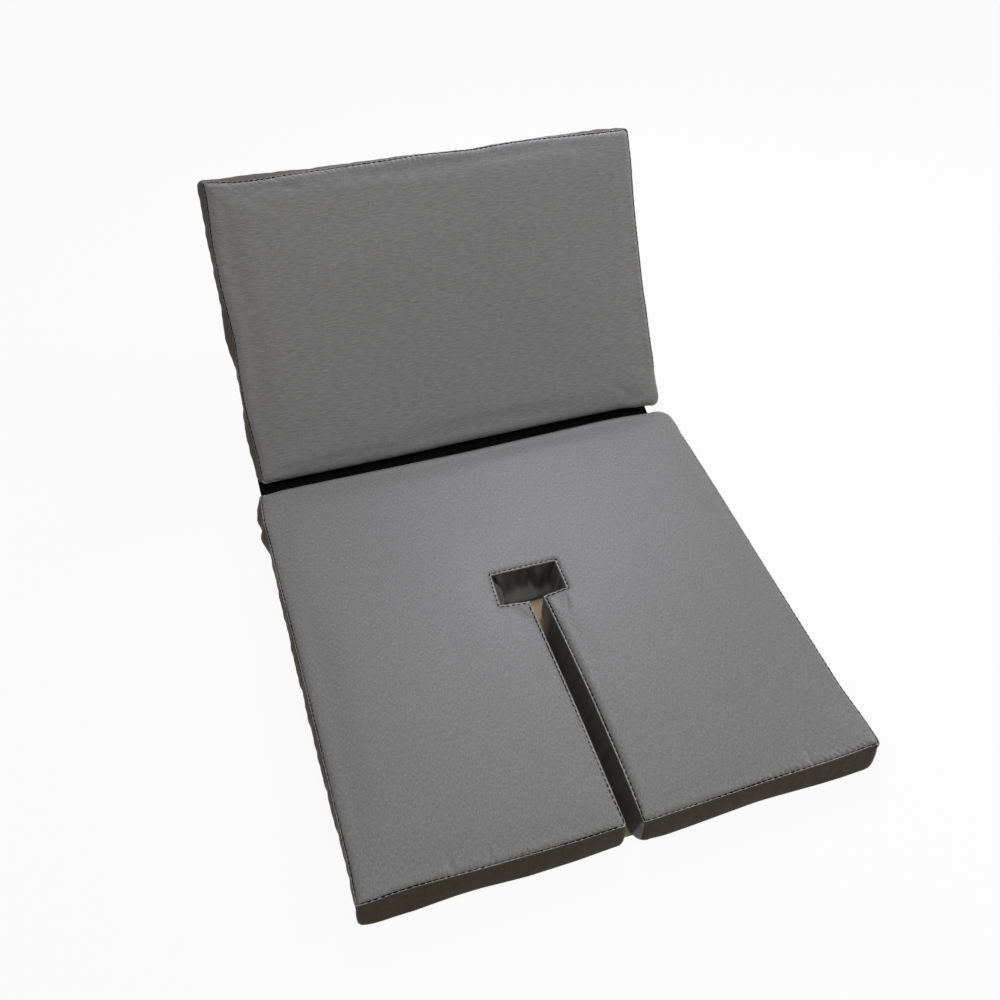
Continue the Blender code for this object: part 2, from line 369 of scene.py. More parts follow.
class PadOutline:
    """A pad's plan outline of right-angled corners, sampled the same way at every inset."""

    def __init__(self, corners, edges, rolled_width, rolled_drop):
        self.corners = corners
        self.edges = edges
        self.rolled_width = rolled_width * MM
        self.rolled_drop = rolled_drop * MM
        self.places = [Vector((c.x + c.nudge[0] * MM, c.y + c.nudge[1] * MM)) for c in corners]
        nominal = [Vector((c.x, c.y)) for c in corners]
        runs = [nominal[(i + 1) % len(corners)] - nominal[i] for i in range(len(corners))]
        self.lengths = [run.length for run in runs]
        self.along = [run.normalized() for run in runs]
        self.steps = [max(6, round(length / EDGE_SPACING)) for length in self.lengths]
        self.place_samples()
        self.outward = self.outward_directions()
        self.pinch = self.pinch_weights()
        self.drop = self.by_edge("drop", 6)
        self.roll = self.by_edge("roll", 6)
        self.bulge = self.by_edge("bulge", 2.5)
        self.lean = self.by_edge("lean", 4)
        self.hem = self.by_edge("hem", 4)
        self.shift = self.by_edge("shift", 4)
        self.lip = self.by_edge("lip", 4)
        self.wrinkle = self.by_edge("wrinkle", 4)
        self.lining = np.array([edge.lining for edge in edges])[self.edge]

    def place_samples(self):
        """The edge, share of its length and distance round the outline of each sample."""
        edge, fraction, distance = [], [], []
        start = 0.0
        for i, length in enumerate(self.lengths):
            for j in range(CORNER_STEPS):
                spread = (j / (CORNER_STEPS - 1) - 0.5) * EDGE_SPACING
                edge.append(i if spread > 0 else (i - 1) % len(self.lengths))
                fraction.append(0.0 if spread > 0 else 1.0)
                distance.append(start + spread)
            for j in range(1, self.steps[i]):
                edge.append(i)
                fraction.append(j / self.steps[i])
                distance.append(start + j / self.steps[i] * length)
            start += length
        self.total = start
        self.edge = np.array(edge)
        self.fraction = np.array(fraction)
        self.distance = np.array(distance)

    def by_edge(self, field, blur):
        """A length for each sample from one setting of the edges, smoothed round the corners."""
        values = np.zeros(len(self.edge))
        for i, edge in enumerate(self.edges):
            setting = getattr(edge, field)
            pairs = [(0.0, setting)] if isinstance(setting, (int, float)) else setting
            shares, lengths = zip(*pairs)
            here = self.edge == i
            values[here] = np.interp(self.fraction[here], shares, lengths)
        return blur_loop(values, blur) * MM

    def pinch_weights(self):
        """1 where the edge is stitched, falling to 0 a little way along an edge that rolls over."""
        weights = np.ones(len(self.edge))
        for i, (edge, length) in enumerate(zip(self.edges, self.lengths)):
            here = self.edge == i
            previous, following = self.edges[i - 1], self.edges[(i + 1) % len(self.edges)]
            ends = (
                (self.fraction[here] * length, edge.open_start, previous.open_end),
                ((1 - self.fraction[here]) * length, edge.open_end, following.open_start),
            )
            if edge.stitched:
                for away, gap, _ in ends:
                    if gap:
                        weights[here] *= smooth_step(away / (gap * MM), *OPEN_FADE)
            else:
                weights[here] = sum(
                    0.0 if gap else 1 - smooth_step(away, *ROLLED_FADE) for away, _, gap in ends
                )
        return weights

    def convex(self, i):
        before, after = self.along[i - 1], self.along[i]
        return before.x * after.y - before.y * after.x > 0

    def outward_directions(self):
        directions = []
        for i, after in enumerate(self.along):
            before = self.along[i - 1]
            for j in range(CORNER_STEPS):
                angle = j / (CORNER_STEPS - 1) * math.pi / 2
                if self.convex(i):
                    directions.append(before * math.sin(angle) - after * math.cos(angle))
                else:
                    directions.append(after * math.cos(angle) - before * math.sin(angle))
            directions += [Vector((after.y, -after.x))] * (self.steps[i] - 1)
        return np.array(directions)

    def ring(self, inset, radius_of):
        """The outline set in by the inset; radius_of gives the rounding of a corner that points out."""
        arcs = []
        for i, (corner, place) in enumerate(zip(self.corners, self.places)):
            before, after = self.along[i - 1], self.along[i]
            inside = Vector((-before.y, before.x)) + Vector((-after.y, after.x))
            radius = radius_of(corner) if self.convex(i) else max(inset + HOLE_CORNER_RADIUS, LEAST_RADIUS)
            centre = place + inside * inset + (after - before) * radius
            angles = np.linspace(0, math.pi / 2, CORNER_STEPS)
            arcs.append([centre + (before * math.sin(a) - after * math.cos(a)) * radius for a in angles])
        points = []
        for i, arc in enumerate(arcs):
            start, end = arc[-1], arcs[(i + 1) % len(arcs)][0]
            points += arc
            points += [start.lerp(end, j / self.steps[i]) for j in range(1, self.steps[i])]
        fade = max(0.0, 1 - inset / SHIFT_FADE)
        return np.array(points) + self.outward * ((self.shift - self.lip) * fade)[:, None]


def keyhole_edge(lean, bulge=0.2, **settings):
    return Edge(drop=1.1, bulge=bulge, lean=lean, lip=0.9, lining=True, **settings)


def seat_outline():
    left, right = SEAT_LOW.x, SEAT_HIGH.x
    front, rear = SEAT_LOW.y, SEAT_HIGH.y
    corners = [
        Corner(left, front, band_radius=2.0),
        Corner(-SLIT_HALF, front, (1.2, -1.0), face_radius=3.0, band_radius=4.0),
        Corner(-SLIT_HALF, HOLE_FRONT, (0.6, -1.8), band_radius=2.0),
        Corner(-HOLE_HALF, HOLE_FRONT, (-1.5, 0.8)),
        Corner(-HOLE_HALF, HOLE_REAR, (0.5, 0.5)),
        Corner(HOLE_HALF, HOLE_REAR, (0.0, 0.5)),
        Corner(HOLE_HALF, HOLE_FRONT, (-0.5, 2.6)),
        Corner(SLIT_HALF, HOLE_FRONT, band_radius=2.0),
        Corner(SLIT_HALF, front, (0.3, -0.8), band_radius=5.0),
        Corner(right, front, (0.0, 4.6), band_radius=4.0),
        Corner(right, rear, face_radius=11.0, band_radius=12.0),
        Corner(left, rear, (-0.5, -1.5), band_radius=1.5),
    ]
    edges = [
        Edge(
            bulge=0.8,
            lean=(
                (0, 3.6), (0.08, 4.5), (0.2, 5.1), (0.35, 3.0), (0.45, 2.5), (0.63, 3.7), (0.83, 2.8),
                (1, 2.0),
            ),
            shift=(
                (0, -0.5), (0.05, -0.3), (0.13, -1.4), (0.23, -1.7), (0.34, -1.1), (0.5, -0.5), (0.83, 0),
                (1, -0.8),
            ),
        ),
        Edge(
            drop=((0, 2.2), (1, 1.1)), bulge=1.0, lean=1.0, shift=((0, 0), (0.5, 0.8), (1, 0)),
            lip=((0, 0), (0.1, 0.9)), lining=True,
        ),
        keyhole_edge(2.0),
        keyhole_edge(5.0, bulge=((0, 1.0), (0.3, 4.5), (0.75, 6.0), (1, 2.0)), wrinkle=2.0),
        keyhole_edge(5.5, hem=((0, 8.0), (0.5, 10.0), (1, 9.0)), wrinkle=4.5),
        keyhole_edge(4.5, wrinkle=2.4),
        keyhole_edge(2.0),
        Edge(
            drop=((0, 1.1), (0.08, 1.3), (0.2, 3.0), (0.85, 3.0), (1, 1.6)),
            roll=((0, 4.5), (0.2, 8.0), (0.85, 8.0), (1, 4.5)),
            bulge=0.6, lean=((0, 0), (0.03, 0), (0.12, 7.0), (0.9, 7.0), (1, 4.0)),
            shift=((0, 0), (0.2, -1.8), (0.5, -2.6), (0.8, -1.8), (1, 0)),
            lip=((0, 0.9), (0.9, 0.9), (1, 0)), lining=True,
        ),
        Edge(
            bulge=0.8,
            lean=(
                (0, 1.9), (0.06, 3.2), (0.17, 3.1), (0.38, 2.3), (0.49, 1.9), (0.7, 3.4), (0.92, 5.0),
                (1, 5.4),
            ),
            shift=((0, 0.9), (0.32, 1.0), (0.57, 1.1), (0.79, 1.7), (0.88, 1.5), (0.97, 0.8), (1, 1.0)),
        ),
        Edge(
            drop=2.5, bulge=2.0, open_end=18.0,
            shift=(
                (0, 3.2), (0.05, 2.8), (0.14, 0.6), (0.31, 1.0), (0.5, 1.8), (0.72, 2.8), (0.82, 3.0),
                (0.92, 3.0), (1, 2.0),
            ),
        ),
        Edge(
            drop=2.2, bulge=0.0, stitched=False,
            shift=(
                (0, 1.2), (0.03, 1.5), (0.07, 3.0), (0.13, 3.7), (0.27, 2.2), (0.5, 0.0), (0.85, 0.3),
                (1, 0.0),
            ),
        ),
        Edge(
            drop=4.4, roll=10.0, wrinkle=0.6,
            bulge=(
                (0, 2.5), (0.015, 4.3), (0.045, 6.0), (0.072, 2.4), (0.098, 4.8), (0.115, 4.2), (0.145, 1.4),
                (0.2, 1.2), (0.29, 2.4), (0.42, 2.9), (0.55, 3.0), (0.78, 2.3), (0.97, 0.8), (1, 0.5),
            ),
            shift=(
                (0, 0), (0.08, 1.8), (0.145, 0.7), (0.2, 0.8), (0.32, -0.1), (0.42, -0.7), (0.7, -1.4),
                (0.93, -2.0), (1, -1.0),
            ),
        ),
    ]
    return PadOutline(corners, edges, rolled_width=5.5, rolled_drop=3.6)


def back_outline():
    corners = [
        Corner(BACK_LOW.x, BACK_LOW.y, face_radius=1.0, band_radius=2.0),
        Corner(BACK_HIGH.x, BACK_LOW.y, face_radius=4.0, band_radius=5.0),
        Corner(BACK_HIGH.x, BACK_HIGH.y, (0.0, -1.2), face_radius=2.0),
        Corner(BACK_LOW.x, BACK_HIGH.y, (0.0, 2.0), face_radius=0.5, band_radius=2.0),
    ]
    edges = [
        Edge(
            drop=2.2, bulge=0.0, stitched=False,
            shift=(
                (0, 1.2), (0.05, 0.5), (0.35, 0), (0.5, -1.0), (0.75, -2.0), (0.92, -2.0), (0.955, -0.2),
                (1, 0.4),
            ),
        ),
        Edge(
            drop=2.5, bulge=((0, 2.0), (0.12, 2.5), (1, 2.5)), open_start=24.0,
            shift=(
                (0, 4.8), (0.07, 3.2), (0.16, 3.6), (0.26, 2.5), (0.35, 2.2), (0.44, 1.1), (0.7, 1.1),
                (0.8, 1.7), (0.89, 2.8), (1, 2.6),
            ),
        ),
        Edge(
            bulge=(
                (0, 2.0), (0.04, 3.2), (0.1, 2.3), (0.17, 1.8), (0.23, 0.8), (0.48, 0.5), (0.54, 1.3),
                (0.65, 2.2), (0.77, 2.5), (0.83, 3.6), (0.88, 4.7), (0.94, 4.5), (1, 2.5),
            ),
            shift=(
                (0, 0), (0.1, 0.6), (0.22, 1.6), (0.3, 1.3), (0.38, -0.3), (0.5, 0.9), (0.6, -0.3),
                (0.8, -1.5), (0.88, -2.7), (0.93, -2.5), (0.97, -1.2), (1, 0.6),
            ),
        ),
        Edge(
            drop=4.4, roll=7.5, wrinkle=0.6,
            bulge=(
                (0, 4.8), (0.07, 3.6), (0.15, 3.1), (0.24, 2.3), (0.32, 2.1), (0.4, 3.3), (0.48, 5.5),
                (0.535, 5.4), (0.57, 3.4), (0.61, 1.0), (0.66, 0.4), (0.74, 0.9), (0.83, 3.9), (0.92, 4.6),
                (1, 3.5),
            ),
            shift=(
                (0, -0.2), (0.05, -0.2), (0.1, 1.2), (0.2, 3.0), (0.33, 3.5), (0.43, 2.3), (0.52, 1.4),
                (0.6, 3.2), (0.7, 4.7), (0.77, 4.4), (0.85, 3.3), (0.92, 2.5), (1, 2.6),
            ),
        ),
    ]
    return PadOutline(corners, edges, rolled_width=10.0, rolled_drop=6.0)


# Loops of points that make up a cover

def stitched_height(inset, outline):
    """Height of a face along a loop, rising from the stitch line to the crown."""
    roll = quarter_round((inset - STITCH_INSET) / outline.roll)
    return -outline.drop + (outline.drop + SHOULDER) * roll + crown_height(inset)


def rolled_height(inset, outline):
    """Height of a face whose edge rolls over with no stitching."""
    roll = quarter_round((inset - ROLLED_EDGE) / outline.rolled_width)
    return -outline.rolled_drop + (outline.rolled_drop + SHOULDER) * roll + crown_height(inset)


def crown_height(inset):
    return CROWN * (1 - np.exp(-np.maximum(inset - STITCH_INSET, 0) / CROWN_REACH))


def face_rings(outline, face, seed):
    """Loops over the edge of the face, from inside to the stitch line."""
    s = outline.distance
    pinch = outline.pinch
    stitch_wave = np.cos(2 * math.pi * s / STITCH_PITCH)
    drape = ripple(s, DRAPE_WAVES, seed)
    flutter = ripple(s, FLUTTER_WAVES, seed + 1)
    rings = []
    for share in np.linspace(1, 0, FACE_RINGS) ** 2:
        d = STITCH_INSET + (FACE_REACH - STITCH_INSET) * share
        e = ROLLED_FACE_END + (FACE_REACH - ROLLED_FACE_END) * share
        sewn = outline.ring(d, lambda corner: corner.face_radius * MM + RADIUS_GROWTH * d)
        rolled = outline.ring(e, lambda corner: corner.face_radius * MM + RADIUS_GROWTH * max(e, 0))
        plan = sewn * pinch[:, None] + rolled * (1 - pinch)[:, None]
        height = stitched_height(d, outline) * pinch + rolled_height(e, outline) * (1 - pinch)
        away = d - STITCH_INSET
        reach = math.exp(-away / DRAPE_REACH) * min(1.0, away / DRAPE_START)
        height = height - PUCKER * math.exp(-away / PUCKER_REACH) * stitch_wave * pinch
        height = height + (DRAPE_DEPTH * drape + FLUTTER_DEPTH * flutter) * reach * pinch
        rings.append(np.column_stack([plan, face + height]))
    return rings


def band_rings(outline, face, base, seed):
    """Loops from the stitch line over the seam's lip, down the band and under the pad."""
    s = outline.distance
    pinch = outline.pinch
    stitch_wave = np.cos(2 * math.pi * s / STITCH_PITCH)
    flutter = ripple(s, FLUTTER_WAVES, seed + 1)
    wrinkle = ripple(s, WRINKLE_WAVES, seed + 2)
    fullness = 1 + FULLNESS * ripple(s, FULLNESS_WAVES, seed + 3)
    sewn_curve = curve_through(STITCHED_SECTION, BAND_RINGS) * MM
    rolled_curve = curve_through(ROLLED_SECTION, BAND_RINGS) * MM
    top, foot = rolled_curve[0, 1], rolled_curve[-1, 1]
    start = rolled_height(ROLLED_FACE_END, outline)
    rolled_curve[:, 1] = np.interp(rolled_curve[:, 1], (foot, top), (foot, start))
    depth_scale = (face - base) / SECTION_DEPTH
    rings = []
    for k in range(1, BAND_RINGS):
        (d, z), (e, y) = sewn_curve[k], rolled_curve[k]
        on_band = smooth_step(-z / MM, BAND_START, BAND_FULL)

        def radius_of(corner):
            radius = (1 - on_band) * corner.face_radius + on_band * corner.band_radius
            return radius * MM + max(d, 0) * RADIUS_GROWTH

        plan = outline.ring(d, radius_of) * pinch[:, None]
        plan = plan + outline.ring(e, radius_of) * (1 - pinch)[:, None]
        depth = np.clip((-z - BAND_MARGIN) / (SECTION_DEPTH - 2 * BAND_MARGIN), 0, 1)
        middle = math.sin(math.pi * depth)
        on_lip = math.exp(-((k - LIP_MIDDLE) / LIP_SPREAD) ** 2)
        out = outline.bulge * fullness * middle
        out = out + outline.lean * depth ** LEAN_POWER + outline.hem * depth ** HEM_POWER
        out = out + outline.wrinkle * wrinkle * middle * pinch + outline.lip * min(1.0, k / 3)
        out = out + (LIP_FLUTTER[0] * flutter - LIP_PUCKER[0] * stitch_wave) * MM * on_lip * pinch
        height = z * pinch + y * (1 - pinch)
        height = height + (SECTION_DROP - outline.drop) * pinch * math.exp(-((k - 1) / DROP_SPREAD) ** 2)
        height = height + (LIP_FLUTTER[1] * flutter - LIP_PUCKER[1] * stitch_wave) * MM * on_lip * pinch
        plan = plan + outline.outward * out[:, None]
        rings.append(np.column_stack([plan, np.maximum(face + height * depth_scale, base)]))
    return rings


# Closed meshes from stacked loops

def inside_outline(points, loop):
    """Which points lie inside a closed plan loop."""
    x, y = points[:, 0], points[:, 1]
    inside = np.zeros(len(points), bool)
    for (x0, y0), (x1, y1) in zip(loop, np.roll(loop, -1, axis=0)):
        if y0 != y1:
            crosses = (y0 > y) != (y1 > y)
            inside ^= crosses & (x < (x1 - x0) * (y - y0) / (y1 - y0) + x0)
    return inside


def distance_to_loop(points, loop):
    best = np.full(len(points), np.inf)
    for a, b in zip(loop, np.roll(loop, -1, axis=0)):
        run = b - a
        t = np.clip(((points - a) @ run) / max(run @ run, 1e-18), 0, 1)
        best = np.minimum(best, np.linalg.norm(points - a - t[:, None] * run, axis=1))
    return best


def plan_grid(low, high, spacing):
    columns = np.arange(low[0] + spacing, high[0], spacing)
    rows = np.arange(low[1] + spacing, high[1], spacing)
    return np.array([(x, y) for y in rows for x in columns])


def fill_loop(loop, spacing, patch=None):
    """A grid of plan points inside a loop, and triangles over the loop's points followed by the grid's.

    patch is the middle, half size and spacing of a square with a finer grid.
    """
    grid = plan_grid(loop.min(axis=0), loop.max(axis=0), spacing)
    if patch:
        middle, half, fine = patch
        outside = np.abs(grid - middle).max(axis=1) > half + 0.5 * spacing
        grid = np.vstack([grid[outside], plan_grid(np.subtract(middle, half), np.add(middle, half), fine)])
    grid = grid[inside_outline(grid, loop)]
    grid = grid[distance_to_loop(grid, loop[::3]) > 0.4 * spacing]
    count = len(loop)
    edges = [(i, (i + 1) % count) for i in range(count)]
    places = [Vector(point) for point in np.vstack([loop, grid])]
    _, _, faces, sources, _, _ = geometry.delaunay_2d_cdt(places, edges, [list(range(count))], 1, 1e-7)
    order = [source[0] for source in sources]
    return grid, [[order[v] for v in face] for face in faces]


class Shell:
    """A closed mesh of stacked closed loops, with its first and last loops filled in."""

    def __init__(self, rings, top_spacing, bottom_spacing, patch=None):
        self.rings = rings
        self.count = len(rings[0])
        self.top, top_faces = fill_loop(rings[0][:, :2], top_spacing, patch)
        self.bottom, bottom_faces = fill_loop(rings[-1][:, :2], bottom_spacing)
        self.top_start = len(rings) * self.count
        self.bottom_start = self.top_start + len(self.top)
        top = np.column_stack([self.top, np.full(len(self.top), rings[0][:, 2].mean())])
        bottom = np.column_stack([self.bottom, np.full(len(self.bottom), rings[-1][:, 2].mean())])
        self.points = np.vstack([*rings, top, bottom])
        last = (len(rings) - 1) * self.count
        self.top_faces = [[self.index(i, 0, self.top_start) for i in face] for face in top_faces]
        self.bottom_faces = [
            [self.index(i, last, self.bottom_start) for i in face[::-1]] for face in bottom_faces
        ]

    def index(self, i, ring_start, fill_start):
        return ring_start + i if i < self.count else fill_start + i - self.count

    def quads(self):
        """Indices of the quads between each loop and the next, row by row."""
        i = np.arange(self.count)
        j = (i + 1) % self.count
        rows = []
        for k in range(len(self.rings) - 1):
            above, below = k * self.count, (k + 1) * self.count
            rows.append(np.column_stack([above + i, below + i, below + j, above + j]))
        return rows

    def make(self, name, matrix, materials, slots_of_row, outline):
        """The object, with a cloth layer of places in metres: plan places, and lengths round a band."""
        rows = self.quads()
        faces = [quad for row in rows for quad in row.tolist()] + self.top_faces + self.bottom_faces
        row_slots = [slots_of_row(k, outline) for k in range(len(rows))]
        slots = np.concatenate(row_slots).tolist()
        slots += [slots[0]] * len(self.top_faces) + [slots[-1]] * len(self.bottom_faces)
        world = self.points @ np.array(matrix.to_3x3()).T + np.array(matrix.translation)
        mesh = bpy.data.meshes.new(name)
        mesh.from_pydata(world.tolist(), [], faces)
        mesh.polygons.foreach_set("material_index", slots)
        mesh.polygons.foreach_set("use_smooth", [True] * len(faces))
        cloth = [self.points[face][:, :2] for face in faces]
        distance = outline.distance
        ahead = np.append(distance[1:], outline.total + distance[0])
        around = np.column_stack([distance, distance, ahead, ahead])
        for k, row in enumerate(rows):
            if row_slots[k][0] in (LIP_SLOT, BAND_SLOT):
                height = self.points[row][:, :, 2]
                cloth[k * self.count:(k + 1) * self.count] = np.stack([around, height], axis=2)
        layer = mesh.uv_layers.new(name="cloth")
        layer.data.foreach_set("uv", np.vstack(cloth).ravel())
        for material in materials:
            mesh.materials.append(material)
        return add_object(name, mesh)


def one_slot(row, outline):
    return np.full(len(outline.edge), COVER_SLOT)


def cover_slots(row, outline):
    """Material slots of a cover's quads round one row."""
    if row < FACE_RINGS - 1:
        return np.full(len(outline.edge), COVER_SLOT)
    # The seam's lip takes the lip material, which holds painted highlight
    if row < section_row(SEAM_POINT):
        return np.where(outline.pinch > 0.5, LIP_SLOT, COVER_SLOT)
    # Bands and facings take materials that hold painted shade
    if row < section_row(UNDERSIDE_POINT):
        return np.where(outline.lining, FACING_SLOT, BAND_SLOT)
    return np.full(len(outline.edge), UNDERSIDE_SLOT)


# Creases of a face

class Crease(NamedTuple):
    """A soft groove in a face, in millimetres and degrees, y from the seat's front or the back's foot."""
    x: float
    y: float
    heading: float
    length: float
    width: float
    depth: float


# Where the seat's mesh is finer, beside the keyhole: middle, half size and spacing
CREASED_PATCH = ((-0.017, SEAT_LOW.y + 0.183), 0.024, 1.0 * MM)
SEAT_CREASES = [
    Crease(-15, 187, -54, 16, 2.2, 1.60),
    Crease(-9, 191, -54, 7, 1.8, 1.00),
    Crease(21, 187, 76, 14, 2.6, 1.50),
    Crease(20, 150, -80, 50, 7.0, 0.35),
    Crease(-125, 8, 96, 9, 2.0, 1.30),
    Crease(-99, 7, 96, 7, 1.8, 0.80),
    Crease(137, 7, 86, 8, 2.0, 1.30),
    Crease(-160, 14, 60, 14, 1.8, 0.40),
    Crease(-176, 338, 20, 16, 2.0, 0.50),
    Crease(-172, 352, 32, 16, 2.0, 0.40),
]
BACK_CREASES = [
    Crease(-150, 30, 20, 40, 6.0, 0.40),
    Crease(-150, 232, -25, 26, 3.0, 0.45),
    Crease(-120, 238, -14, 26, 2.5, 0.35),
    Crease(150, 20, 150, 30, 3.5, 0.45),
    Crease(172, 12, 40, 14, 2.2, 1.00),
    Crease(160, 8, 15, 18, 2.6, 0.70),
]


def crease_depths(points, origin, creases):
    x = (points[:, 0] - origin[0]) / MM
    y = (points[:, 1] - origin[1]) / MM
    depth = np.zeros(len(points))
    for crease in creases:
        turn = math.radians(crease.heading)
        along = (x - crease.x) * math.cos(turn) + (y - crease.y) * math.sin(turn)
        across = (y - crease.y) * math.cos(turn) - (x - crease.x) * math.sin(turn)
        depth += crease.depth * MM * np.exp(-(along / crease.length) ** 2 * 2 - (across / crease.width) ** 2)
    return depth


def face_undulation(points, seed):
    """Slow unevenness of the foam and cloth over a face."""
    x, y = points[:, 0], points[:, 1]
    across = ripple(x + 0.35 * y, ACROSS_WAVES, seed)
    along = ripple(y - 0.25 * x, ALONG_WAVES, seed + 5)
    return UNDULATION * (across + along)


# Cloth settling over the foam

def mesh_points(mesh):
    points = np.empty(3 * len(mesh.vertices))
    mesh.vertices.foreach_get("co", points)
    return points.reshape(-1, 3)


def even_copy(cover):
    """A separate object with an even mesh of a cover's shape."""
    copy = add_object("settling_cloth", cover.data.copy())
    remesh = copy.modifiers.new("even", "REMESH")
    remesh.mode = "VOXEL"
    remesh.voxel_size = SETTLE_VOXEL
    even = bpy.data.meshes.new_from_object(copy.evaluated_get(bpy.context.evaluated_depsgraph_get()))
    copy.modifiers.clear()
    copy.data = even
    return copy


def settle(cover, matrix, stitch_loop, base):
    """Where an even mesh of the cover starts, and how far slight pressure swells it between its seams."""
    copy = even_copy(cover)
    start = mesh_points(copy.data)
    to_pad = matrix.inverted()
    local = start @ np.array(to_pad.to_3x3()).T + np.array(to_pad.translation)
    sewn = distance_to_loop(local, stitch_loop[::3]) < SEWN_REACH
    held = sewn | (local[:, 2] < base + SETTLE_VOXEL)
    group = copy.vertex_groups.new(name="held")
    group.add(np.flatnonzero(held).tolist(), 1.0, "REPLACE")
    cloth = copy.modifiers.new("cloth", "CLOTH")
    cloth.settings.vertex_group_mass = "held"
    cloth.settings.mass = SETTLE_MASS
    cloth.settings.use_pressure = True
    cloth.settings.uniform_pressure_force = SETTLE_PRESSURE
    cloth.settings.effector_weights.gravity = 0.0
    cloth.point_cache.frame_start = 1
    cloth.point_cache.frame_end = SETTLE_FRAMES
    scene = bpy.context.scene
    for number in range(1, SETTLE_FRAMES + 1):
        scene.frame_set(number)
    settled = copy.evaluated_get(bpy.context.evaluated_depsgraph_get())
    moved = mesh_points(settled.data) - start
    scene.frame_set(1)
    bpy.data.objects.remove(copy)
    return start, moved


def swell(cover, weight, start, moved):
    """Moves a cover's points as the settled cloth near them moved, up to a limit."""
    size = np.linalg.norm(moved, axis=1)
    moved = moved * (np.minimum(size, SETTLE_LIMIT) / np.maximum(size, 1e-9))[:, None]
    tree = kdtree.KDTree(len(start))
    for i, place in enumerate(start):
        tree.insert(place, i)
    tree.balance()
    points = mesh_points(cover.data)
    for i in np.flatnonzero(weight > 0.01):
        near = tree.find_n(points[i], SETTLE_NEIGHBOURS)
        shares = np.array([1 / (gap + MM) ** 2 for _, _, gap in near])
        change = shares @ moved[[index for _, index, _ in near]] / shares.sum()
        points[i] += np.round(weight[i] * change, SETTLE_DIGITS)
    cover.data.vertices.foreach_set("co", points.ravel())
    cover.data.update()


# Sewn covers

def build_cover(name, outline, face, base, matrix, materials, creases, seed, patch=None):
    """A closed sewn cover: crowned face, pinched seam, band and underside."""
    rings = face_rings(outline, face, seed) + band_rings(outline, face, base, seed)
    shell = Shell(rings, FACE_SPACING, UNDERSIDE_SPACING, patch)
    depth = distance_to_loop(shell.top, rings[0][::3, :2]) + FACE_REACH
    shell.points[shell.top_start:shell.bottom_start, 2] = face + SHOULDER + crown_height(depth)
    weight = np.zeros(len(shell.points))
    creased = np.zeros(len(shell.points))
    for k in range(FACE_RINGS):
        row = slice(k * shell.count, (k + 1) * shell.count)
        weight[row] = 1 - smooth_step(float(k), 0, FACE_RINGS - 1)
        creased[row] = 1 - smooth_step(float(k), 0.6 * FACE_RINGS, FACE_RINGS - 1)
    weight[shell.top_start:shell.bottom_start] = 1
    creased[shell.top_start:shell.bottom_start] = 1
    origin = (0.0, min(corner.y for corner in outline.corners))
    shell.points[:, 2] += face_undulation(shell.points, seed + 11) * weight
    shell.points[:, 2] -= crease_depths(shell.points, origin, creases) * creased
    cover = shell.make(name, matrix, materials, cover_slots, outline)
    swell(cover, weight, *settle(cover, matrix, rings[FACE_RINGS - 1], base))
    return cover, rings


# Foam inside the covers

def build_core(name, outline, face, base, matrix, material):
    """The foam slab inside a cover, with rounded edges."""
    depth_scale = (face - base) / SECTION_DEPTH
    rings = []
    for inset, height in CORE_SECTION:
        plan = outline.ring(inset * MM, lambda corner: max(corner.face_radius, CORE_RADIUS) * MM)
        rings.append(np.column_stack([plan, np.full(len(plan), face + height * MM * depth_scale)]))
    shell = Shell(rings, CORE_SPACING, CORE_SPACING)
    return shell.make(name, matrix, [material], one_slot, outline)


# Stitches

def stitch_stations(outline, travel):
    """Distances along the stitch line of the middles of the stitches, on stitched edges only."""
    stations = np.arange(int(travel[-1] / STITCH_PITCH)) * STITCH_PITCH
    return stations[np.interp(stations, travel, outline.pinch) > 0.97]


def add_stitch(shape, points, lift):
    """One thread lying along three points, round in section, its ends sunk into the cloth."""
    forward = (points[2] - points[0]) / np.linalg.norm(points[2] - points[0])
    side = np.cross(lift, forward)
    loops = []
    for t in np.linspace(-1, 1, THREAD_LOOPS):
        centre = points[1] + (points[2] - points[0]) * (t / 2)
        centre = centre + lift * THREAD_RADIUS * (0.75 - 1.1 * abs(t) ** 3)
        radius = THREAD_RADIUS * (1 - 0.5 * abs(t) ** 4)
        loop = []
        for j in range(THREAD_SIDES):
            angle = 2 * math.pi * j / THREAD_SIDES
            offset = side * math.cos(angle) * 1.12 + lift * math.sin(angle) * 0.9
            loop.append(shape.verts.new(Vector(centre + offset * radius)))
        loops.append(loop)
    for a, b in zip(loops, loops[1:]):
        for j in range(THREAD_SIDES):
            k = (j + 1) % THREAD_SIDES
            shape.faces.new([a[j], b[j], b[k], a[k]]).smooth = True
    shape.faces.new(loops[0])
    shape.faces.new(loops[-1][::-1])


def build_stitches(name, outline, rings, matrix, material, seed):
    """All the topstitches of one pad, lying in the dip of its stitch line."""
    loop = rings[FACE_RINGS - 1]
    travel = np.append(0.0, np.cumsum(np.linalg.norm(np.diff(loop, axis=0), axis=1)))
    shape = bmesh.new()
    wander = np.random.RandomState(seed)
    for middle in stitch_stations(outline, travel):
        slip = wander.uniform(-STITCH_SLIP, STITCH_SLIP) * STITCH_PITCH
        skew = wander.uniform(-STITCH_SKEW, STITCH_SKEW) * MM
        ends = []
        for offset in (-0.5, 0.0, 0.5):
            at = middle + slip + offset * STITCH_LENGTH
            point = np.array([np.interp(at, travel, loop[:, axis]) for axis in range(3)])
            outward = np.array([np.interp(at, travel, outline.outward[:, axis]) for axis in range(2)])
            point[:2] += outward * skew * offset * 2
            ends.append(point)
        if np.linalg.norm(ends[2] - ends[0]) > 0.5 * STITCH_LENGTH:
            lift = np.array([*(outward * 0.5), 1.0])
            add_stitch(shape, ends, lift / np.linalg.norm(lift))
    bmesh.ops.recalc_face_normals(shape, faces=shape.faces)
    shape.transform(matrix)
    return object_from(shape, name, material)


# Hinge strip

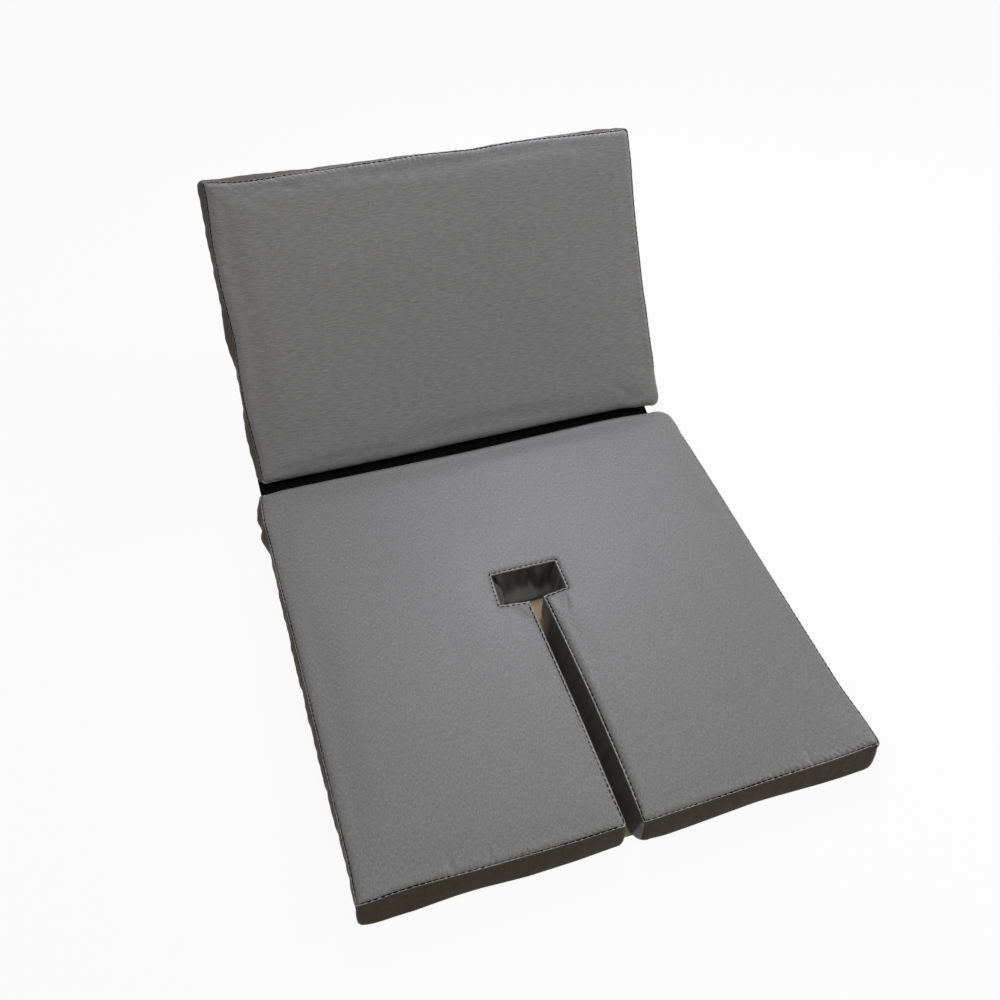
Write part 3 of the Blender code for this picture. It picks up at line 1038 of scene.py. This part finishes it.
def strip_ends():
    """Where the strip leaves the seat's rear edge and where it reaches the back's lower edge."""
    start = Vector((0, SEAT_HIGH.y - ROLLED_EDGE - STRIP_TUCK, SEAT_TOP - STRIP_SEAT_DEPTH))
    end = BACK_FRAME @ Vector((0, BACK_LOW.y + ROLLED_EDGE + STRIP_TUCK, BACK_TOP - STRIP_BACK_DEPTH))
    return start, end


def build_hinge_strip(material):
    """One strip of cloth across the fold, slack between the two pads."""
    low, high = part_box("hinge_strip_seat_leaf")
    left, right = low[0] - STRIP_LEFT_OVERHANG, high[0] + STRIP_RIGHT_OVERHANG
    start, end = strip_ends()
    middle = (start + end) / 2 + Vector((0, 0.4, -0.9)) * 2 * STRIP_SAG
    t = np.linspace(0, 1, STRIP_COLUMNS + 1)[:, None]
    curve = np.array(start) * (1 - t) ** 2 + np.array(middle) * 2 * t * (1 - t) + np.array(end) * t ** 2
    run = np.gradient(curve, axis=0)
    normal = np.column_stack([run[:, 0], -run[:, 2], run[:, 1]])
    normal /= np.linalg.norm(normal, axis=1)[:, None]
    length = float(np.linalg.norm(np.diff(curve, axis=0), axis=1).sum())
    x = np.linspace(left, right, STRIP_ROWS + 1)
    wave = ripple(x, STRIP_WAVES, STRIP_SEED) * STRIP_WAVE_DEPTH
    shape = bmesh.new()
    cloth = shape.loops.layers.uv.new("cloth")
    layers = []
    for side in (STRIP_HALF_THICKNESS, -STRIP_HALF_THICKNESS):
        layer = []
        for i in range(STRIP_ROWS + 1):
            places = curve + normal * (side + wave[i] * np.sin(math.pi * t))
            layer.append([shape.verts.new((x[i], place[1], place[2])) for place in places])
        layers.append(layer)

    def add_face(verts, cells):
        made = shape.faces.new(verts)
        made.smooth = True
        for loop, (i, j) in zip(made.loops, cells):
            loop[cloth].uv = (x[i], length * j / STRIP_COLUMNS)

    for layer, turn in zip(layers, (1, -1)):
        for i in range(STRIP_ROWS):
            for j in range(STRIP_COLUMNS):
                cells = [(i, j), (i + 1, j), (i + 1, j + 1), (i, j + 1)][::turn]
                add_face([layer[a][b] for a, b in cells], cells)
    rim = [(i, 0) for i in range(STRIP_ROWS)]
    rim += [(STRIP_ROWS, j) for j in range(STRIP_COLUMNS)]
    rim += [(i, STRIP_COLUMNS) for i in range(STRIP_ROWS, 0, -1)]
    rim += [(0, j) for j in range(STRIP_COLUMNS, 0, -1)]
    upper, lower = layers
    for a, b in zip(rim, rim[1:] + rim[:1]):
        verts = [upper[b[0]][b[1]], upper[a[0]][a[1]], lower[a[0]][a[1]], lower[b[0]][b[1]]]
        add_face(verts, [b, a, a, b])
    bmesh.ops.recalc_face_normals(shape, faces=shape.faces)
    return object_from(shape, "hinge_strip", material), (right - left, length)


# Materials

class NodeSheet:
    """A material's node tree, with short ways to add and join nodes."""

    def __init__(self, name):
        self.material = bpy.data.materials.new(name)
        self.material.use_nodes = True
        self.tree = self.material.node_tree
        self.shader = self.tree.nodes["Principled BSDF"]

    def add(self, kind, **settings):
        node = self.tree.nodes.new(kind)
        for key, value in settings.items():
            setattr(node, key, value)
        return node

    def join(self, source, target):
        self.tree.links.new(source, target)

    def math(self, operation, first, second=None):
        node = self.add("ShaderNodeMath", operation=operation)
        for socket, value in zip(node.inputs, (first, second)):
            if isinstance(value, (int, float)):
                socket.default_value = value
            elif value is not None:
                self.join(value, socket)
        return node.outputs[0]

    def noise(self, vector, scale, detail=2.0, roughness=0.55):
        node = self.add("ShaderNodeTexNoise")
        node.inputs["Scale"].default_value = scale
        node.inputs["Detail"].default_value = detail
        node.inputs["Roughness"].default_value = roughness
        self.join(vector, node.inputs["Vector"])
        return node.outputs["Fac"]

    def stretched(self, vector, scale):
        node = self.add("ShaderNodeMapping")
        node.inputs["Scale"].default_value = scale
        self.join(vector, node.inputs["Vector"])
        return node.outputs["Vector"]

    def tinted(self, colour, factor):
        """A colour made darker or lighter by a factor that varies over the surface."""
        node = self.add("ShaderNodeVectorMath", operation="SCALE")
        node.inputs[0].default_value = colour
        self.join(factor, node.inputs["Scale"])
        return node.outputs["Vector"]

    def raise_bump(self, height, strength, distance):
        node = self.add("ShaderNodeBump")
        node.inputs["Strength"].default_value = strength
        node.inputs["Distance"].default_value = distance
        self.join(height, node.inputs["Height"])
        self.join(node.outputs["Normal"], self.shader.inputs["Normal"])


def woven_cloth(name, colour, weft, warp, speck=0.4, cloud=0.06, roughness=0.46, specular=0.5, sheen=0.0):
    """Plain woven cloth: thread pattern, uneven threads both ways and slow shade changes.

    weft and warp each give the strength, the length across and the length along of a thread's slubs.
    """
    sheet = NodeSheet(name)
    cloth = sheet.add("ShaderNodeUVMap", uv_map="cloth").outputs["UV"]
    parts = sheet.add("ShaderNodeSeparateXYZ")
    sheet.join(cloth, parts.inputs[0])
    turns = math.pi / THREAD_SPACING
    over = sheet.math("SINE", sheet.math("MULTIPLY", parts.outputs["X"], turns))
    under = sheet.math("SINE", sheet.math("MULTIPLY", parts.outputs["Y"], turns))
    weave = sheet.math("MULTIPLY", over, under)

    weft_slub = sheet.noise(sheet.stretched(cloth, (1 / weft[1], 1 / weft[2], 1.0)), 1.0, 1.0)
    warp_slub = sheet.noise(sheet.stretched(cloth, (1 / warp[1], 1 / warp[2], 1.0)), 1.0, 1.0)
    specks = sheet.noise(cloth, 1 / SPECK_SIZE)
    clouds = sheet.noise(cloth, 1 / CLOUD_SIZE, 3.0, 0.5)
    factor = sheet.math("ADD", sheet.math("MULTIPLY", weave, 0.05), 1.0)
    for pattern, strength in ((weft_slub, weft[0]), (warp_slub, warp[0]), (specks, speck), (clouds, cloud)):
        change = sheet.math("MULTIPLY", sheet.math("SUBTRACT", pattern, 0.5), strength)
        factor = sheet.math("ADD", factor, change)
    sheet.join(sheet.tinted(colour, factor), sheet.shader.inputs["Base Color"])

    rough = sheet.math("ADD", sheet.math("MULTIPLY", weft_slub, 0.12), roughness - 0.06)
    sheet.join(rough, sheet.shader.inputs["Roughness"])
    sheet.shader.inputs["Specular IOR Level"].default_value = specular
    sheet.shader.inputs["Sheen Weight"].default_value = sheen
    sheet.shader.inputs["Sheen Roughness"].default_value = 0.4

    height = sheet.math("ADD", sheet.math("MULTIPLY", weave, 0.5), sheet.math("MULTIPLY", weft_slub, 0.9))
    height = sheet.math("ADD", height, sheet.math("MULTIPLY", warp_slub, 0.6))
    sheet.raise_bump(height, 0.25, 0.12 * MM)
    return sheet.material


def twisted_thread(name, colour):
    """Sewing thread with a fine twist along it."""
    sheet = NodeSheet(name)
    place = sheet.add("ShaderNodeTexCoord").outputs["Object"]
    twist = sheet.noise(place, 4200.0, 2.0, 0.6)
    factor = sheet.math("ADD", sheet.math("MULTIPLY", twist, 0.8), 0.6)
    sheet.join(sheet.tinted(colour, factor), sheet.shader.inputs["Base Color"])
    sheet.shader.inputs["Roughness"].default_value = 0.8
    sheet.shader.inputs["Specular IOR Level"].default_value = 0.1
    sheet.raise_bump(twist, 0.4, 0.1 * MM)
    return sheet.material


def open_foam(name, colour):
    """Cushion foam with fine open cells."""
    sheet = NodeSheet(name)
    place = sheet.add("ShaderNodeTexCoord").outputs["Object"]
    cells = sheet.add("ShaderNodeTexVoronoi")
    cells.inputs["Scale"].default_value = 900.0
    sheet.join(place, cells.inputs["Vector"])
    factor = sheet.math("ADD", sheet.math("MULTIPLY", cells.outputs["Distance"], 0.4), 0.75)
    sheet.join(sheet.tinted(colour, factor), sheet.shader.inputs["Base Color"])
    sheet.shader.inputs["Roughness"].default_value = 0.95
    sheet.raise_bump(cells.outputs["Distance"], 0.5, 0.3 * MM)
    return sheet.material


# Stage

def direct_rays(tree):
    """1 for what the camera sees straight, in a reflection or through glass."""
    path = tree.nodes.new("ShaderNodeLightPath")
    direct = path.outputs["Is Camera Ray"]
    for ray in ("Is Glossy Ray", "Is Transmission Ray"):
        either = tree.nodes.new("ShaderNodeMath")
        either.operation = "MAXIMUM"
        tree.links.new(direct, either.inputs[0])
        tree.links.new(path.outputs[ray], either.inputs[1])
        direct = either.outputs[0]
    return direct


def inside_box(sheet, half_width, low, high):
    """1 on the floor within a box about the object's middle line, and 0 around it."""
    place = sheet.add("ShaderNodeTexCoord").outputs["Object"]
    parts = sheet.add("ShaderNodeSeparateXYZ")
    sheet.join(place, parts.inputs[0])
    from_middle = sheet.math("SUBTRACT", parts.outputs["Y"], (low + high) / 2)
    across = sheet.math("LESS_THAN", sheet.math("ABSOLUTE", parts.outputs["X"]), half_width)
    along = sheet.math("LESS_THAN", sheet.math("ABSOLUTE", from_middle), (high - low) / 2)
    return sheet.math("MULTIPLY", across, along)


def build_floor():
    """A pale warm floor that looks white around the object, with a faint shadow."""
    sheet = NodeSheet("studio_floor")
    front, rear = SEAT_LOW.y + FOOTPRINT_MARGIN, SEAT_HIGH.y - FOOTPRINT_MARGIN
    covered = inside_box(sheet, SEAT_HIGH.x - FOOTPRINT_MARGIN, front, rear)
    seen = sheet.math("MULTIPLY", direct_rays(sheet.tree), sheet.math("SUBTRACT", 1.0, covered))
    tone = sheet.add("ShaderNodeMix", data_type="RGBA")
    sheet.join(seen, tone.inputs["Factor"])
    tone.inputs[6].default_value = (*FLOOR_COLOUR, 1.0)
    tone.inputs[7].default_value = (1.0, 1.0, 1.0, 1.0)
    sheet.join(tone.outputs[2], sheet.shader.inputs["Base Color"])
    sheet.shader.inputs["Roughness"].default_value = 0.9
    sheet.shader.inputs["Specular IOR Level"].default_value = 0.1
    white = sheet.add("ShaderNodeEmission")
    mix = sheet.add("ShaderNodeMixShader")
    sheet.join(sheet.math("MULTIPLY", seen, 1.0 - SHADOW_SHARE), mix.inputs["Fac"])
    sheet.join(sheet.shader.outputs["BSDF"], mix.inputs[1])
    sheet.join(white.outputs["Emission"], mix.inputs[2])
    sheet.join(mix.outputs["Shader"], sheet.tree.nodes["Material Output"].inputs["Surface"])
    shape = bmesh.new()
    bmesh.ops.create_grid(shape, x_segments=2, y_segments=2, size=FLOOR_SIZE / 2)
    floor = object_from(shape, "studio_floor", sheet.material)
    floor.location = (0.0, 0.0, -FLOOR_DROP)
    return floor


def build_world():
    """Even white surroundings: soft fill for the object, white to the camera."""
    world = bpy.data.worlds.new("studio_world")
    world.use_nodes = True
    tree = world.node_tree
    background = tree.nodes["Background"]
    background.inputs["Color"].default_value = (1.0, 1.0, 1.0, 1.0)
    level = tree.nodes.new("ShaderNodeMapRange")
    level.inputs["To Min"].default_value = WORLD_FILL
    level.inputs["To Max"].default_value = 1.0
    tree.links.new(direct_rays(tree), level.inputs["Value"])
    tree.links.new(level.outputs["Result"], background.inputs["Strength"])
    bpy.context.scene.world = world


def add_area_light(name, target, bearing, height, distance, size, power, colour):
    """A round soft lamp that faces the target."""
    turn, rise = math.radians(bearing), math.radians(height)
    away = Vector((math.sin(turn) * math.cos(rise), math.cos(turn) * math.cos(rise), math.sin(rise)))
    light = bpy.data.lights.new(name, "AREA")
    light.shape = "DISK"
    light.size = size
    light.energy = power
    light.color = colour
    lamp = add_object(name, light)
    lamp.location = target + away * distance
    lamp.rotation_euler = (-away).to_track_quat("-Z", "Y").to_euler()
    lamp.visible_camera = False


def build_camera():
    forward = Vector((
        math.sin(CAMERA_YAW) * math.cos(CAMERA_PITCH),
        math.cos(CAMERA_YAW) * math.cos(CAMERA_PITCH),
        -math.sin(CAMERA_PITCH),
    ))
    level = Vector((math.cos(CAMERA_YAW), -math.sin(CAMERA_YAW), 0.0))
    upright = level.cross(forward)
    right = level * math.cos(CAMERA_ROLL) + upright * math.sin(CAMERA_ROLL)
    up = upright * math.cos(CAMERA_ROLL) - level * math.sin(CAMERA_ROLL)
    data = bpy.data.cameras.new("photo_camera")
    data.lens = CAMERA_LENS_MM
    data.sensor_width = CAMERA_SENSOR_MM
    data.sensor_fit = "HORIZONTAL"
    data.clip_start = 0.01
    camera = add_object("photo_camera", data)
    place = Vector((0.0, SEAT_LOW.y, SEAT_BASE)) + CAMERA_FROM_SEAT_FRONT
    turn = Matrix((right, up, -forward)).transposed().to_4x4()
    camera.matrix_world = Matrix.Translation(place) @ turn
    bpy.context.scene.camera = camera


# The whole scene

bpy.context.scene.view_settings.view_transform = "Standard"
build_camera()
build_world()
floor = build_floor()
lit_place = Vector((0.0, (SEAT_LOW.y + SEAT_HIGH.y) / 2, SEAT_TOP))
for lamp_name, lamp_settings in LAMPS.items():
    add_area_light(lamp_name, lit_place, *lamp_settings)

seat_cloth = woven_cloth("cover_fabric", SEAT_COLOUR, *SEAT_THREADS)
# The back's cloth carries painted light: lighter than the seat's same cloth
back_cloth = woven_cloth("cover_fabric", BACK_COLOUR_WITH_PAINTED_LIGHT, *BACK_THREADS)
# Lip materials: painted highlight along the stitched seams
seat_lip_highlight = woven_cloth("cover_fabric", SEAT_LIP_HIGHLIGHT_COLOUR, *BAND_THREADS, speck=1.8, specular=0.25)
back_lip_highlight = woven_cloth("cover_fabric", BACK_LIP_HIGHLIGHT_COLOUR, *BAND_THREADS, speck=1.8, specular=0.25)
# Band materials: painted shade and painted warm floor bounce
seat_band = woven_cloth("band_fabric", SEAT_BAND_SHADE_COLOUR, *BAND_THREADS, specular=0.02)
back_band = woven_cloth("band_fabric", BACK_BAND_SHADE_COLOUR, *BAND_THREADS, specular=0.02)
# Facing material: painted shade of the keyhole and slit
facing = woven_cloth("band_fabric", FACING_SHADE_COLOUR, *BAND_THREADS, sheen=0.3)
underside = woven_cloth("underside_fabric", UNDERSIDE_COLOUR, *BAND_THREADS)
thread = twisted_thread("sewing_thread", THREAD_COLOUR)
# Hinge material: near black, painted shade of the gap between the pads
hinge = woven_cloth("hinge_fabric", HINGE_SHADE_COLOUR, *BAND_THREADS, roughness=0.9, specular=0.05)
foam = open_foam("cushion_foam", FOAM_COLOUR)

# The seat pad
seat_plan = seat_outline()
seat_cloths = [seat_cloth, seat_band, underside, seat_lip_highlight, facing]
seat_cover, seat_rings = build_cover(
    "seat_cover", seat_plan, SEAT_TOP, SEAT_BASE, SEAT_FRAME, seat_cloths, SEAT_CREASES, SEAT_SEED,
    CREASED_PATCH,
)
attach(seat_cover, "seat")
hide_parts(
    "seat_top_panel", "seat_bottom_panel", "seat_band_left", "seat_band_right",
    "seat_band_front_left", "seat_band_front_right", "seat_band_rear",
    "slit_facing_left", "slit_facing_right", "keyhole_facing",
)

seat_core = build_core("seat_foam_core", seat_plan, SEAT_TOP, SEAT_BASE, SEAT_FRAME, foam)
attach(seat_core, "seat")
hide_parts("seat_foam")

seat_stitches = build_stitches(
    "seat_stitches", seat_plan, seat_rings, SEAT_FRAME, thread, SEAT_STITCH_SEED
)
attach(seat_stitches, "seat")
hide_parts("seat_topstitch")

# The back pad
back_plan = back_outline()
back_cloths = [back_cloth, back_band, underside, back_lip_highlight]
back_cover, back_rings = build_cover(
    "back_cover", back_plan, BACK_TOP, BACK_BASE, BACK_FRAME, back_cloths, BACK_CREASES, BACK_SEED
)
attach(back_cover, "back")
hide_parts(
    "back_front_panel", "back_rear_panel", "back_band_left", "back_band_right",
    "back_band_top", "back_band_bottom",
)

back_core = build_core("back_foam_core", back_plan, BACK_TOP, BACK_BASE, BACK_FRAME, foam)
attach(back_core, "back")
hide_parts("back_foam")

back_stitches = build_stitches(
    "back_stitches", back_plan, back_rings, BACK_FRAME, thread, BACK_STITCH_SEED
)
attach(back_stitches, "back")
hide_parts("back_topstitch")

# The strip across the fold
strip, strip_size = build_hinge_strip(hinge)
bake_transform(strip)
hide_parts("hinge_strip_seat_leaf", "hinge_strip_back_leaf")
